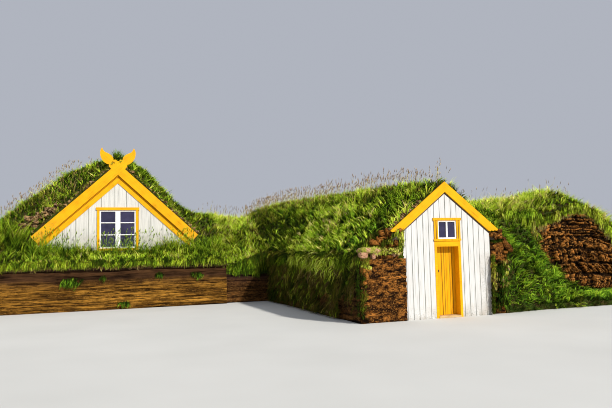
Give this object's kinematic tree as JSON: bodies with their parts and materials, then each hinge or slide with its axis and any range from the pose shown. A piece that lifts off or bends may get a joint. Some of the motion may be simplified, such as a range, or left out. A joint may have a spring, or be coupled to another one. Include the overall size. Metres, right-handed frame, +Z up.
{
  "type": "turf house",
  "caption": "Low turf house: a window gable with crossed horned bargeboards behind a long strip-turf wall, and a door gable with a hinged plank door, joined under grassed turf roofs.",
  "frame": {"origin": "ground level, middle of the plan box", "axes": "+X to the right along the two facades, +Y away from the door gable into the building, +Z up"},
  "size_m": [21, 14, 5.3605],
  "materials": {
    "turf_wall": "rough, fibrous cut turf in long strips",
    "pier_turf": "rough, fibrous cut turf",
    "block_turf": "rough cut turf blocks laid aslant",
    "grass_turf": "living grass on sods",
    "white_boards": "white painted boards, weathered",
    "white_sash": "white painted",
    "yellow_paint": "golden yellow painted boards",
    "bare_timber": "bare weathered softwood",
    "window_glass": "dark window glass",
    "iron": "dull forged iron",
    "stone_slab": "rough flat fieldstone"
  },
  "bodies": {
    "house": {"left_front_wall": "turf_wall", "left_front_bank": "grass_turf", "left_end_wall": "turf_wall", "left_inner_wall": "turf_wall", "left_back_wall": "turf_wall", "left_gable_boards": "white_boards", "left_barge_left": "yellow_paint", "left_barge_right": "yellow_paint", "left_trim": "yellow_paint", "left_window_casing": "yellow_paint", "left_window_sash": "white_sash", "left_window_glass": "window_glass", "left_rafters": "bare_timber", "left_deck_left": "bare_timber", "left_deck_right": "bare_timber", "left_turf_left": "grass_turf", "left_turf_right": "grass_turf", "recess_wall": "turf_wall", "saddle_turf": "grass_turf", "door_gable_left": "white_boards", "door_gable_right": "white_boards", "door_gable_top": "white_boards", "door_frame": "yellow_paint", "door_threshold": "bare_timber", "hinge_pins": "iron", "light_casing": "yellow_paint", "light_sash": "white_sash", "light_glass": "window_glass", "door_barge_left": "yellow_paint", "door_barge_right": "yellow_paint", "door_rafters": "bare_timber", "door_deck_left": "bare_timber", "door_deck_right": "bare_timber", "flank_wall_left": "turf_wall", "flank_wall_right": "turf_wall", "door_back_wall": "turf_wall", "left_pier": "pier_turf", "pier_stones": "stone_slab", "right_pier": "pier_turf", "door_turf_left": "grass_turf", "door_turf_right": "grass_turf", "wing_wall": "block_turf", "wing_turf": "grass_turf", "right_bank": "grass_turf"},
    "door": {"door_leaf": "yellow_paint"}
  },
  "joints": [
    {"name": "door_hinge", "type": "hinge", "parent": "house", "child": "door", "pos_m": [1.8725, -6.711, 0.9], "axis": [0, 0, -1], "range_deg": [0, 95]}
  ]
}
